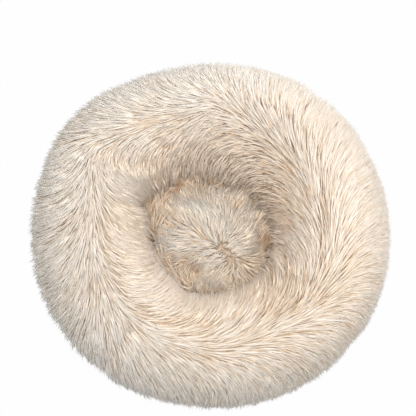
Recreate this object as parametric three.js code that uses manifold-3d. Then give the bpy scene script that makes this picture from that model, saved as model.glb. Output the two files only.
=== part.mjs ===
// Round donut pet bed: a stuffed ring of long-pile plush round a plush pad, on an Oxford cloth base.
// The washable cover closes with a moulded zip, hidden under the fur of the back panel, and it holds
// a stuffed ring insert and a stuffed pad insert.
// Millimetres, +Z up. The origin is on the floor under the middle of the bed, and -Y is the front.
import * as THREE from "three";
import { mergeVertices } from "three/addons/utils/BufferGeometryUtils.js";
import Module from "manifold-3d";

const degrees = Math.PI / 180;
const fullTurn = 360 * degrees;
const lowestTurn = 270 * degrees;

// The bed
const outerRadius = 296;
const nestRadius = 118;
const crestRadius = 194;
const ringHeight = 180;
const waistHeight = 82;
const pileDepth = 20;
const clothThickness = 1.2;
const seamGap = 0.3;
const outerSeamTurn = -28 * degrees;
const innerSeamTurn = 205 * degrees;
const underPower = 2.6;

// How the stuffed ring departs from a true round
const seamAngles = [50, 140, 230, 320].map((angle) => angle * degrees);
const panelTurn = 90 * degrees;
const seamSwells = [4, 13, 0, 3];
const swellWidth = 17 * degrees;
const seamDip = 5;
const seamDipWidth = 4 * degrees;
const ovalSqueeze = 7;
const ovalAngle = -12 * degrees;
const crestSquareness = 7;
const nestShift = 9;
const nestShiftAngle = 225 * degrees;

// The pad
const padTop = 66;
const padCrown = 12;
const padCrownPower = 2.4;
const padCrownRadius = 110;
const padPileDepth = 16;
const padRimGap = 0.8;
const padRimTurn = 192 * degrees;
const padRimSteps = 2;
const padInsertRadius = 100;
const padInsertBulge = 18;

// The inserts
const linerThickness = 1;
const linerEase = 2.2;

// The zip
const zipStartAngle = 58 * degrees;
const zipEndAngle = 132 * degrees;
const zipTurn = -39 * degrees;
const zipLapTurn = -50 * degrees;
const zipLapEndTurn = -56 * degrees;
const tapeThickness = 0.6;
const tapeFlatHalf = 8.5;
const tapeEndLength = 8;
const tapeEdgeDepth = 16.5;
const toothPitch = 3.6;
const toothReach = 1;
const toothRoot = 1.3;
const toothTip = 1.7;
const toothThickness = 2.2;
const chainHalf = 3;
const cordWidth = 0.9;
const runningGap = 0.25;
const stopLength = 3;
const stopThickness = 2.6;
const stopReach = 1.8;
const bottomStopLength = 5;

// The zip's slider
const sliderLength = 15;
const sliderPlate = 1.1;
const sliderLip = 1;
const sliderSlot = 1.2;
const diamondHalf = 1.1;
const diamondLength = 5;
const shoulderLength = 7;
const shoulderShare = 0.3;
const channelSideGap = 0.4;
const crownLength = 8.4;
const crownHeight = 3.4;
const crownBar = 1.1;
const crownWidth = 1.8;

// The zip's pull
const pullLength = 22;
const pullWidth = 6.6;
const pullTipWidth = 5.2;
const pullThickness = 1.4;
const eyeLength = 4.6;
const eyeWidth = 3.4;
const eyeBar = 1.4;
const gripHoleLength = 6;
const gripHoleWidth = 2.2;
const gripHoleInset = 2.6;
const pullEdge = 0.25;
const pullHang = 90 * degrees;

// Counts
const panelSteps = 15;
const coverTurnSteps = 20;
const underTurnSteps = 3;
const insertSteps = 24;
const padSteps = 30;
const padCrownSteps = 4;
const padSideSteps = 6;
const baseSteps = 60;
const baseTurnSteps = 6;
const tapeSteps = 24;
const tapeSpreadSteps = 6;
const sliderShoulderSteps = 6;
const overrun = 10;

const wasm = await Module();
wasm.setup();

// Geometry helpers

function smooth(share) {
  const t = Math.min(1, Math.max(0, share));
  return t * t * (3 - 2 * t);
}

function bell(angle, middle, width) {
  const away = Math.atan2(Math.sin(angle - middle), Math.cos(angle - middle));
  return Math.exp(-((away / width) ** 2));
}

function bare(geometry) {
  const copy = geometry.clone();
  for (const name of Object.keys(copy.attributes)) {
    if (name !== "position") copy.deleteAttribute(name);
  }
  return mergeVertices(copy, 1e-4);
}

function volumeOf(geometry) {
  const [a, b, c] = [new THREE.Vector3(), new THREE.Vector3(), new THREE.Vector3()];
  const places = geometry.getAttribute("position");
  const corners = geometry.index.array;
  let six = 0;
  for (let i = 0; i < corners.length; i += 3) {
    a.fromBufferAttribute(places, corners[i]);
    b.fromBufferAttribute(places, corners[i + 1]);
    c.fromBufferAttribute(places, corners[i + 2]);
    six += a.dot(b.cross(c));
  }
  return six / 6;
}

// Makes a closed mesh from points and triangles, with its faces pointing out.
function closedMesh(points, triangles) {
  const geometry = new THREE.BufferGeometry().setFromPoints(points);
  geometry.setIndex(triangles.flat());
  if (volumeOf(geometry) < 0) {
    geometry.setIndex(triangles.flatMap(([a, b, c]) => [a, c, b]));
  }
  geometry.computeVertexNormals();
  return geometry;
}

// Joins closed sections, each a list of { r, z } at an angle round the bed, into one solid.
// A section runs out along one face and back along the other from its fold, and each face is split
// along the same diagonals, so that nested shells stay parallel.
function loft(stations, goesRound, fold = stations[0].section.length) {
  const count = stations[0].section.length;
  const points = stations.flatMap(({ angle, section }) =>
    section.map(({ r, z }) => new THREE.Vector3(r * Math.cos(angle), r * Math.sin(angle), z)),
  );
  const triangles = [];
  const spans = goesRound ? stations.length : stations.length - 1;
  for (let i = 0; i < spans; i++) {
    const here = i * count;
    const next = ((i + 1) % stations.length) * count;
    for (let j = 0; j < count; j++) {
      const k = (j + 1) % count;
      if (j < fold) {
        triangles.push([here + j, next + j, next + k], [here + j, next + k, here + k]);
      } else {
        triangles.push([here + j, next + j, here + k], [next + j, next + k, here + k]);
      }
    }
  }
  if (!goesRound) {
    const flat = stations[0].section.map(({ r, z }) => new THREE.Vector2(r, z));
    const cap = THREE.ShapeUtils.triangulateShape(flat, []);
    const facesUp = THREE.ShapeUtils.area(flat) > 0;
    const last = (stations.length - 1) * count;
    for (const [a, b, c] of cap) {
      const [first, second] = facesUp ? [a, b] : [b, a];
      triangles.push([first, second, c], [last + second, last + first, last + c]);
    }
  }
  return closedMesh(points, triangles);
}

function revolve(profile, steps) {
  const points = profile.map(({ r, z }) => new THREE.Vector2(r, z));
  const geometry = bare(new THREE.LatheGeometry(points, steps)).rotateX(90 * degrees);
  if (volumeOf(geometry) < 0) {
    geometry.index.array.reverse();
  }
  geometry.computeVertexNormals();
  return geometry;
}

function toSolid(geometry) {
  const merged = bare(geometry);
  return new wasm.Manifold(
    new wasm.Mesh({
      numProp: 3,
      vertProperties: new Float32Array(merged.attributes.position.array),
      triVerts: new Uint32Array(merged.index.array),
    }),
  );
}

function fromSolid(solid) {
  const mesh = solid.getMesh();
  const geometry = new THREE.BufferGeometry();
  geometry.setAttribute("position", new THREE.BufferAttribute(mesh.vertProperties, 3));
  geometry.setIndex(new THREE.BufferAttribute(mesh.triVerts, 1));
  const crisp = geometry.toNonIndexed();
  crisp.computeVertexNormals();
  return crisp;
}

function extrudeMiddle(shape, thickness, bevel = 0) {
  const geometry = new THREE.ExtrudeGeometry(shape, {
    depth: thickness - 2 * bevel,
    bevelEnabled: bevel > 0,
    bevelThickness: bevel,
    bevelSize: bevel,
    bevelOffset: -bevel,
    bevelSegments: 1,
    curveSegments: 4,
  });
  return geometry.translate(0, 0, bevel - thickness / 2);
}

// The ring's cross-section

// How far the stuffed ring moves in or out at an angle round the bed and a turn round its section.
function ringDrift(angle, turn) {
  const across = Math.cos(turn);
  const up = Math.sin(turn);
  let outerShare = 0;
  let nestShare = 0;
  if (across > 0) {
    const belowWaist = Math.atan2(up, across);
    outerShare = up > 0 ? across ** 2 : smooth(1 - belowWaist / outerSeamTurn);
  } else if (up > 0) {
    nestShare = across ** 2;
  } else {
    nestShare = smooth((lowestTurn - turn) / (lowestTurn - innerSeamTurn));
  }
  let swell = -ovalSqueeze * Math.sin(angle - ovalAngle) ** 2;
  let dip = 0;
  seamAngles.forEach((seam, i) => {
    swell += seamSwells[i] * bell(angle, seam, swellWidth);
    dip += seamDip * bell(angle, seam, seamDipWidth);
  });
  const crestShare = Math.max(0, up) ** 2;
  const panelMiddle = seamAngles[0] + panelTurn / 2;
  const squareness = crestSquareness * Math.cos(seamAngles.length * (angle - panelMiddle));
  return {
    r:
      outerShare * (swell - dip) +
      nestShare * nestShift * Math.cos(angle - nestShiftAngle) -
      crestShare * squareness,
    z: -crestShare * dip,
  };
}

// A point of the ring's section at a turn from its outer waist over the crest, a depth under the pile.
// The section is cut off at a floor: the cover's own, or the one that an insert lies on.
function ringPoint(angle, turn, depth, floor = coverFloor(depth)) {
  const across = Math.cos(turn);
  const up = Math.sin(turn);
  const half = (across > 0 ? outerRadius - crestRadius : crestRadius - nestRadius) - depth;
  const rise = up > 0 ? ringHeight - waistHeight - depth : waistHeight - floor;
  const power = up > 0 ? 1 : 2 / underPower;
  const drift = ringDrift(angle, turn);
  return {
    r: crestRadius + Math.sign(across) * half * Math.abs(across) ** power + drift.r,
    z: waistHeight + Math.sign(up) * rise * Math.abs(up) ** power + drift.z,
  };
}

function coverFloor(depth) {
  return clothThickness + seamGap + depth - pileDepth;
}

function stepsBetween(from, to, count) {
  return Array.from({ length: count + 1 }, (_, i) => from + ((to - from) * i) / count);
}

const coverTurns = stepsBetween(outerSeamTurn, innerSeamTurn, coverTurnSteps);
const clothTurns = coverTurns.filter((_, i) => i % 2 === 0);
const underTurns = [
  ...stepsBetween(innerSeamTurn, lowestTurn, underTurnSteps).slice(1),
  ...stepsBetween(lowestTurn, outerSeamTurn + fullTurn, underTurnSteps).slice(1, -1),
];
const roundTurns = [...clothTurns, ...underTurns];
const insertStations = stepsBetween(0, fullTurn, insertSteps).slice(0, -1);
const linerDepth = pileDepth + linerEase;

// The plush cover

function ringPanel(seamIndex) {
  const gapAngle = seamGap / 2 / nestRadius;
  const start = seamAngles[seamIndex];
  const angles = stepsBetween(start, start + panelTurn, panelSteps);
  angles[0] += gapAngle;
  angles[panelSteps] -= gapAngle;
  const stations = angles.map((angle) => ({
    angle,
    section: [
      ...coverTurns.map((turn) => ringPoint(angle, turn, 0)),
      ...clothTurns.map((turn) => ringPoint(angle, turn, pileDepth)).reverse(),
    ],
  }));
  return loft(stations, false, coverTurns.length);
}

function padCrownPoints(drop) {
  return stepsBetween(0, 1, padCrownSteps).map((share) => ({
    r: padCrownRadius * share,
    z: padTop - padCrown * share ** padCrownPower - drop,
  }));
}

const padCentre = new THREE.Vector3(
  nestShift * Math.cos(nestShiftAngle),
  nestShift * Math.sin(nestShiftAngle),
  0,
);

// A point of the ring's nest side as the pad sees it, with the nest's shift taken out.
function nestPoint(turn) {
  const square = nestShiftAngle + 90 * degrees;
  const { z } = ringPoint(square, turn, 0);
  return { r: ringPoint(square, turn, 0).r - padRimGap, z };
}

function padCover() {
  const rim = stepsBetween(padRimTurn, innerSeamTurn, padRimSteps).map(nestPoint);
  return revolve([...padCrownPoints(0), ...rim, ...padCrownPoints(padPileDepth).reverse()], padSteps);
}

// The base cloth lies flat on the floor and curves up under the ring to the outer seam.
function baseCloth() {
  const edgeGapTurn = seamGap / (outerRadius - crestRadius);
  const turns = stepsBetween(-90 * degrees, outerSeamTurn - 2 * edgeGapTurn, baseTurnSteps);
  const face = (depth) => turns.map((turn) => ringPoint(0, turn, depth));
  const outside = face(pileDepth - seamGap - clothThickness);
  const inside = face(pileDepth - seamGap);
  const cloth = revolve(
    [{ r: 0, z: outside[0].z }, ...outside, ...inside.reverse(), { r: 0, z: inside.at(-1).z }],
    baseSteps,
  );
  const cutTurns = [zipLapTurn, outerSeamTurn / 2];
  const section = [
    ...cutTurns.map((turn) => ringPoint(0, turn, pileDepth - overrun)),
    ...cutTurns.map((turn) => ringPoint(0, turn, pileDepth + overrun)).reverse(),
  ];
  const gapAngle = seamGap / zipMiddle.r;
  const angles = stepsBetween(zipStartAngle - gapAngle, zipEndAngle + gapAngle, tapeSteps);
  const notch = loft(angles.map((angle) => ({ angle, section })), false);
  return fromSolid(toSolid(cloth).subtract(toSolid(notch)));
}

// The inserts

// A point of the ring insert, an inset under the outside of its liner.
function insertPoint(angle, turn, inset) {
  return ringPoint(angle, turn, linerDepth + inset, clothThickness + seamGap + inset);
}

function ringLiner(turns) {
  const stations = insertStations.map((step) => {
    const angle = seamAngles[0] + step;
    return {
      angle,
      section: [
        ...turns.map((turn) => insertPoint(angle, turn, 0)),
        ...turns.map((turn) => insertPoint(angle, turn, linerThickness)).reverse(),
      ],
    };
  });
  return loft(stations, true, turns.length);
}

// The liner's two halves meet at its outer and inner edge, where each stops half a gap short.
function ringLinerTurns(from, to) {
  const gapTurn = seamGap / 2 / (crestRadius - nestRadius - linerDepth);
  const all = [...roundTurns, ...roundTurns.map((turn) => turn + fullTurn)];
  const turns = all.slice(from, to + 1);
  turns[0] += gapTurn;
  turns[turns.length - 1] -= gapTurn;
  return turns;
}

function ringFill() {
  const inset = linerThickness + seamGap;
  const stations = insertStations.map((step) => {
    const angle = seamAngles[0] + step;
    return { angle, section: roundTurns.map((turn) => insertPoint(angle, turn, inset)) };
  });
  return loft(stations, true);
}

// The pad insert's outline at a depth under its surface: top, bulging side and flat bottom.
function padInsertTop(depth) {
  return stepsBetween(0, 1, padCrownSteps).map((share) => ({
    r: padInsertRadius * share,
    z: padTop - padCrown * share ** padCrownPower - padPileDepth - seamGap - depth,
  }));
}

function padInsertSide(depth, from, to, steps) {
  const high = padInsertTop(depth).at(-1).z;
  const low = clothThickness + seamGap + depth;
  return stepsBetween(from, to, steps).map((turn) => ({
    r: padInsertRadius + (padInsertBulge - depth) * Math.cos(turn),
    z: (high + low) / 2 + ((high - low) / 2) * Math.sin(turn),
  }));
}

const padEdgeTurn = seamGap / 2 / padInsertBulge;

function padLinerTop() {
  const half = (depth) => [
    ...padInsertTop(depth),
    ...padInsertSide(depth, 90 * degrees, padEdgeTurn, padSideSteps / 2).slice(1),
  ];
  return revolve([...half(0), ...half(linerThickness).reverse()], padSteps);
}

function padLinerBottom() {
  const half = (depth) => [
    { r: 0, z: clothThickness + seamGap + depth },
    ...padInsertSide(depth, -90 * degrees, -padEdgeTurn, padSideSteps / 2),
  ];
  return revolve([...half(0), ...half(linerThickness).reverse()], padSteps);
}

function padFill() {
  const depth = linerThickness + seamGap;
  return revolve(
    [
      ...padInsertTop(depth),
      ...padInsertSide(depth, 90 * degrees, -90 * degrees, padSideSteps).slice(1),
      { r: 0, z: clothThickness + seamGap + depth },
    ],
    padSteps,
  );
}

// The zip's own frame: s runs along the chain, a across it up the seam, and n out of the cloth

const channelHalf = toothThickness / 2 + runningGap;
const sliderHalf = channelHalf + sliderPlate;
const zipDepth = linerDepth - sliderHalf - seamGap;
const zipMiddle = ringPoint(0, zipTurn, zipDepth);
const zipSlope = (() => {
  const low = ringPoint(0, zipTurn - degrees, zipDepth);
  const high = ringPoint(0, zipTurn + degrees, zipDepth);
  return Math.atan2(high.z - low.z, high.r - low.r);
})();
const tapeLength = zipMiddle.r * (zipEndAngle - zipStartAngle);
const topStopStart = tapeLength - tapeEndLength - stopLength;
const chainEnd = topStopStart - seamGap;
const chainStart = tapeEndLength + bottomStopLength + seamGap;
const sliderPlace = chainEnd - sliderLength / 2;
const spreadStart = sliderPlace - sliderLength * shoulderShare;
const spreadMost = diamondHalf + runningGap + toothReach;
const toothCount = Math.floor((chainEnd - chainStart - toothPitch / 2) / toothPitch);

// How far each side of the chain has parted at a place along it: it parts round the slider's diamond.
function spread(s) {
  return spreadMost * smooth((s - spreadStart) / shoulderLength);
}

function zipSection(a, n) {
  return {
    r: zipMiddle.r + a * Math.cos(zipSlope) + n * Math.sin(zipSlope),
    z: zipMiddle.z + a * Math.sin(zipSlope) - n * Math.cos(zipSlope),
  };
}

function zipAngle(s) {
  return zipStartAngle + s / zipMiddle.r;
}

function zipPoint(s, a, n) {
  const { r, z } = zipSection(a, n);
  return new THREE.Vector3(r * Math.cos(zipAngle(s)), r * Math.sin(zipAngle(s)), z);
}

function zipFrame(s, a) {
  const angle = zipAngle(s);
  const along = new THREE.Vector3(-Math.sin(angle), Math.cos(angle), 0);
  const out = new THREE.Vector3(Math.cos(angle), Math.sin(angle), 0);
  const up = new THREE.Vector3(0, 0, 1);
  const acrossBand = out.clone().multiplyScalar(Math.cos(zipSlope));
  acrossBand.addScaledVector(up, Math.sin(zipSlope));
  const normal = out.clone().multiplyScalar(Math.sin(zipSlope));
  normal.addScaledVector(up, -Math.cos(zipSlope));
  return new THREE.Matrix4().makeBasis(along, acrossBand, normal).setPosition(zipPoint(s, a, 0));
}

// A strip of cloth of even thickness whose middle line passes through the points.
function stripSection(points) {
  const sides = points.map((point, i) => {
    const before = points[Math.max(0, i - 1)];
    const after = points[Math.min(points.length - 1, i + 1)];
    const length = Math.hypot(after.r - before.r, after.z - before.z);
    const half = tapeThickness / 2 / length;
    const across = { r: (after.z - before.z) * half, z: (before.r - after.r) * half };
    return [
      { r: point.r + across.r, z: point.z + across.z },
      { r: point.r - across.r, z: point.z - across.z },
    ];
  });
  return [...sides.map(([outer]) => outer), ...sides.map(([, inner]) => inner).reverse()];
}

function zipTape(side) {
  const lapDepth = pileDepth - seamGap - clothThickness - seamGap - tapeThickness / 2;
  const edgeGapTurn = seamGap / (outerRadius - crestRadius - tapeEdgeDepth);
  const edge =
    side > 0
      ? [ringPoint(0, outerSeamTurn - 2 * edgeGapTurn, tapeEdgeDepth)]
      : [zipLapTurn, zipLapEndTurn].map((turn) => ringPoint(0, turn, lapDepth));
  const places = [
    ...stepsBetween(0, spreadStart - toothPitch, tapeSteps),
    ...stepsBetween(spreadStart - toothPitch, chainEnd, tapeSpreadSteps).slice(1),
    tapeLength,
  ];
  const stations = places.map((s) => {
    const near = side * (chainHalf + seamGap + spread(s + toothPitch));
    return {
      angle: zipAngle(s),
      section: stripSection([zipSection(near, 0), zipSection(side * tapeFlatHalf, 0), ...edge]),
    };
  });
  return loft(stations, false);
}

// A corded edge with its moulded teeth, each wider at its tip so that the two sides lock.
function zipTeeth(side) {
  const phaseShare = side > 0 ? 1 / 4 : 3 / 4;
  const points = [];
  const triangles = [];
  const quad = (a, b, c, d) => triangles.push([a, b, c], [a, c, d]);
  for (let i = 0; i < toothCount; i++) {
    const s = chainStart + (i + phaseShare) * toothPitch + toothRoot / 2;
    for (const layer of [-1 / 2, 1 / 2]) {
      const n = layer * toothThickness;
      for (const end of [-1 / 2, 1 / 2]) {
        const root = s + end * toothRoot;
        const tip = s + end * toothTip;
        points.push(zipPoint(root, side * (chainHalf + spread(root)), n));
        points.push(zipPoint(root, side * (chainHalf - cordWidth + spread(root)), n));
        points.push(zipPoint(tip, side * (spread(s) - toothReach), n));
      }
    }
  }
  const rows = [0, 1, 2];
  const corner = (i, layer, end, row) => ((2 * i + layer) * 2 + end) * rows.length + row;
  for (let i = 0; i < toothCount; i++) {
    const [back, front, tip] = rows.map((row) => (layer, end) => corner(i, layer, end, row));
    quad(back(1, 0), back(1, 1), front(1, 1), front(1, 0));
    quad(front(1, 0), front(1, 1), tip(1, 1), tip(1, 0));
    quad(back(0, 1), back(0, 0), front(0, 0), front(0, 1));
    quad(front(0, 1), front(0, 0), tip(0, 0), tip(0, 1));
    quad(back(0, 0), back(0, 1), back(1, 1), back(1, 0));
    quad(front(1, 0), tip(1, 0), tip(0, 0), front(0, 0));
    quad(front(0, 1), tip(0, 1), tip(1, 1), front(1, 1));
    quad(tip(1, 0), tip(1, 1), tip(0, 1), tip(0, 0));
    if (i + 1 === toothCount) continue;
    const nextBack = (layer) => corner(i + 1, layer, 0, 0);
    const nextFront = (layer) => corner(i + 1, layer, 0, 1);
    quad(back(1, 1), nextBack(1), nextFront(1), front(1, 1));
    quad(nextBack(0), back(0, 1), front(0, 1), nextFront(0));
    quad(back(0, 1), nextBack(0), nextBack(1), back(1, 1));
    quad(front(1, 1), nextFront(1), nextFront(0), front(0, 1));
  }
  const last = toothCount - 1;
  quad(corner(0, 0, 0, 0), corner(0, 1, 0, 0), corner(0, 1, 0, 1), corner(0, 0, 0, 1));
  quad(corner(last, 1, 1, 0), corner(last, 0, 1, 0), corner(last, 0, 1, 1), corner(last, 1, 1, 1));
  return closedMesh(points, triangles);
}

function stopBlock(length, width) {
  const shape = new THREE.Shape();
  shape.moveTo(-length / 2, -width / 2);
  shape.lineTo(length / 2, -width / 2);
  shape.lineTo(length / 2, width / 2);
  shape.lineTo(-length / 2, width / 2);
  return extrudeMiddle(shape, stopThickness, pullEdge);
}

// The slider's plan: it follows the chain, closed where it leaves and parted at the mouth.
function sliderPlan(half, reach) {
  const shoulder = stepsBetween(spreadStart, spreadStart + shoulderLength, sliderShoulderSteps);
  const side = [
    new THREE.Vector2(-reach, half),
    ...shoulder.map((s) => new THREE.Vector2(s - sliderPlace, half + spread(s))),
    new THREE.Vector2(reach, half + spreadMost),
  ];
  const mirrored = side.map(({ x, y }) => new THREE.Vector2(x, -y)).reverse();
  return new THREE.Shape([...side, ...mirrored]);
}

function zipSlider() {
  const channelWide = chainHalf + channelSideGap;
  const outerWide = channelWide + sliderLip;
  const block = toSolid(extrudeMiddle(sliderPlan(outerWide, sliderLength / 2), 2 * sliderHalf, pullEdge));
  const channelPlan = sliderPlan(channelWide, sliderLength / 2 + overrun);
  const channel = toSolid(extrudeMiddle(channelPlan, 2 * channelHalf));
  const slotHalf = outerWide + spreadMost + overrun;
  const slotPlan = new THREE.Shape();
  slotPlan.moveTo(-slotHalf, -slotHalf);
  slotPlan.lineTo(slotHalf, -slotHalf);
  slotPlan.lineTo(slotHalf, slotHalf);
  slotPlan.lineTo(-slotHalf, slotHalf);
  const slot = toSolid(extrudeMiddle(slotPlan, sliderSlot));
  const diamondPlan = new THREE.Shape();
  const nose = sliderLength / 2 - pullEdge;
  diamondPlan.moveTo(nose - diamondLength, 0);
  diamondPlan.lineTo(nose - diamondLength / 2, -diamondHalf);
  diamondPlan.lineTo(nose, -diamondHalf / 2);
  diamondPlan.lineTo(nose, diamondHalf / 2);
  diamondPlan.lineTo(nose - diamondLength / 2, diamondHalf);
  const diamond = toSolid(extrudeMiddle(diamondPlan, 2 * channelHalf + sliderPlate));
  const crown = toSolid(crownArch());
  return fromSolid(block.subtract(channel).subtract(slot).add(diamond).add(crown));
}

// The arch over the slider that holds the pull, drawn from the side and turned across the slider.
function crownArch() {
  const foot = crownLength / 2;
  const shoulder = foot - crownBar;
  const sunk = -sliderPlate / 2;
  const arch = new THREE.Shape();
  arch.moveTo(-foot, sunk);
  arch.lineTo(-foot, crownHeight - 2 * crownBar);
  arch.quadraticCurveTo(-foot, crownHeight, -shoulder + crownBar, crownHeight);
  arch.lineTo(shoulder - crownBar, crownHeight);
  arch.quadraticCurveTo(foot, crownHeight, foot, crownHeight - 2 * crownBar);
  arch.lineTo(foot, sunk);
  arch.lineTo(shoulder, sunk);
  arch.lineTo(shoulder, crownHeight - 2 * crownBar);
  arch.lineTo(shoulder - crownBar, crownHeight - crownBar);
  arch.lineTo(-shoulder + crownBar, crownHeight - crownBar);
  arch.lineTo(-shoulder, crownHeight - 2 * crownBar);
  arch.lineTo(-shoulder, sunk);
  return extrudeMiddle(arch, crownWidth).rotateX(90 * degrees).translate(0, 0, sliderHalf);
}

const pullAxisHeight = sliderHalf + (crownHeight - crownBar) / 2;

// The pull with its end bar at the origin, under the slider's arch, lying back along the chain.
function zipPull() {
  const end = eyeBar / 2;
  const tip = -pullLength;
  const plan = new THREE.Shape();
  plan.moveTo(end, -pullWidth / 2);
  plan.lineTo(end, pullWidth / 2);
  plan.lineTo(-eyeLength - eyeBar, pullWidth / 2);
  plan.lineTo(tip + pullTipWidth / 2, pullTipWidth / 2);
  plan.absarc(tip + pullTipWidth / 2, 0, pullTipWidth / 2, 90 * degrees, lowestTurn, false);
  plan.lineTo(-eyeLength - eyeBar, -pullWidth / 2);
  const eye = new THREE.Path();
  eye.moveTo(-end, -eyeWidth / 2);
  eye.lineTo(-end - eyeLength, -eyeWidth / 2);
  eye.lineTo(-end - eyeLength, eyeWidth / 2);
  eye.lineTo(-end, eyeWidth / 2);
  const grip = new THREE.Path();
  const gripMiddle = tip + gripHoleInset + gripHoleLength / 2;
  grip.absellipse(gripMiddle, 0, gripHoleLength / 2, gripHoleWidth / 2, 0, fullTurn, true);
  plan.holes.push(eye, grip);
  return extrudeMiddle(plan, pullThickness, pullEdge);
}

// Materials

const cream = { color: 0xe6d8c8, roughness: 0.95, metalness: 0 };
const tan = { color: 0xd5c2ae, roughness: 0.95, metalness: 0 };
const oxford = { color: 0xb9a993, roughness: 0.8, metalness: 0 };
const bag = { color: 0xf2f1ee, roughness: 0.9, metalness: 0 };
const fibre = { color: 0xf7f7f5, roughness: 1, metalness: 0 };
const tape = { color: 0xcbbca6, roughness: 0.85, metalness: 0 };
const resin = { color: 0xc6b59e, roughness: 0.4, metalness: 0 };
const plated = { color: 0xb7b2aa, roughness: 0.3, metalness: 1 };

function piece(name, geometry, look) {
  const mesh = new THREE.Mesh(geometry, new THREE.MeshStandardMaterial(look));
  mesh.name = name;
  return mesh;
}

const bed = new THREE.Group();

const panelNames = ["back", "left", "front", "right"];
panelNames.forEach((side, i) => bed.add(piece("ring_panel_" + side, ringPanel(i), cream)));
bed.add(piece("base_cloth", baseCloth(), oxford));

const topFrom = 1;
const topTo = clothTurns.length - 2;
bed.add(piece("ring_liner_top", ringLiner(ringLinerTurns(topFrom, topTo)), bag));
const bottomTurns = ringLinerTurns(topTo, roundTurns.length + topFrom);
bed.add(piece("ring_liner_bottom", ringLiner(bottomTurns), bag));
bed.add(piece("ring_fill", ringFill(), fibre));

const pad = new THREE.Group();
pad.position.copy(padCentre);
pad.add(piece("pad_cover", padCover(), tan));
pad.add(piece("pad_liner_top", padLinerTop(), bag));
pad.add(piece("pad_liner_bottom", padLinerBottom(), bag));
pad.add(piece("pad_fill", padFill(), fibre));
bed.add(pad);

for (const [name, side] of [["outer", 1], ["inner", -1]]) {
  bed.add(piece("zip_tape_" + name, zipTape(side), tape));
  bed.add(piece("zip_teeth_" + name, zipTeeth(side), resin));
  const stopMiddle = chainHalf - stopReach / 2 + spreadMost;
  const stop = piece("zip_top_stop_" + name, stopBlock(stopLength, stopReach), resin);
  stop.applyMatrix4(zipFrame(topStopStart + stopLength / 2, side * stopMiddle));
  bed.add(stop);
}
const bottomStop = piece("zip_bottom_stop", stopBlock(bottomStopLength, 2 * chainHalf), resin);
bottomStop.applyMatrix4(zipFrame(tapeEndLength + bottomStopLength / 2, 0));
bed.add(bottomStop);

const runner = new THREE.Group();
runner.applyMatrix4(zipFrame(sliderPlace, 0));
const pull = piece("zip_pull", zipPull(), plated);
pull.position.z = pullAxisHeight;
pull.rotation.y = pullHang;
runner.add(piece("zip_slider", zipSlider(), plated), pull);
bed.add(runner);

export default bed;
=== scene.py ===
import math
import bmesh
import bpy
import numpy as np
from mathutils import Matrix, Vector


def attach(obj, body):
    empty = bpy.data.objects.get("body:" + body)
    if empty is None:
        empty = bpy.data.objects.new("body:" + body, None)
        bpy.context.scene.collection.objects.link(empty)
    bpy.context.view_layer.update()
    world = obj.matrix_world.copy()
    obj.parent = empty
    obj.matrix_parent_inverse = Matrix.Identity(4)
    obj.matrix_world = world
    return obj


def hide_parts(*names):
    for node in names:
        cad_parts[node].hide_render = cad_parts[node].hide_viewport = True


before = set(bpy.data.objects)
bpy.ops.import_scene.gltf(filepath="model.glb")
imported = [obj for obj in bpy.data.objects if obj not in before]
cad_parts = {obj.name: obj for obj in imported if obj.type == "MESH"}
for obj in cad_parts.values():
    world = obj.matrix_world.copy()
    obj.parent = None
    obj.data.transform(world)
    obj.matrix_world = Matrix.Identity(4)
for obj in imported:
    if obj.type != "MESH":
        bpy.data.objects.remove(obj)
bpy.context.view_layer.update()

# Donut pet bed: long pile over a stuffed ring, a tousled pad in its nest, a gripping base and a hidden zip.
mm = 0.001
print("frame loaded:", len(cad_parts), "nodes")


# Sums on numbers and arrays, with angles in degrees

def smooth(share):
    t = np.clip(share, 0, 1)
    return t * t * (3 - 2 * t)


def rising(value, start, reach):
    return smooth((value - start) / reach)


def sine(angle):
    return np.sin(np.radians(angle))


def cosine(angle):
    return np.cos(np.radians(angle))


def hump(distance, width):
    return np.exp(-((distance / width) ** 2))


def bell(angle, middle, width):
    return hump((angle - middle + 180) % 360 - 180, width)


def unit(vectors):
    return vectors / np.maximum(np.linalg.norm(vectors, axis=-1, keepdims=True), 1e-9)


# A node tree's sums written as Python: a wire is one output socket, and sums on it add Math nodes

def operator(operation, reflected=False):
    def apply(self, other):
        return self.graph.math(operation, *((other, self) if reflected else (self, other)))
    return apply


class Wire:
    def __init__(self, graph, node, socket):
        self.graph, self.node, self.socket = graph, node, socket

    def out(self, name):  # another output of the same node
        socket = next(s for s in self.node.outputs if s.enabled and name in (s.identifier, s.name))
        return Wire(self.graph, self.node, socket)

    __add__ = __radd__ = operator("ADD")
    __mul__ = __rmul__ = operator("MULTIPLY")
    __sub__, __rsub__ = operator("SUBTRACT"), operator("SUBTRACT", True)
    __truediv__, __rtruediv__ = operator("DIVIDE"), operator("DIVIDE", True)
    __gt__, __lt__ = operator("GREATER_THAN"), operator("LESS_THAN")


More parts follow.
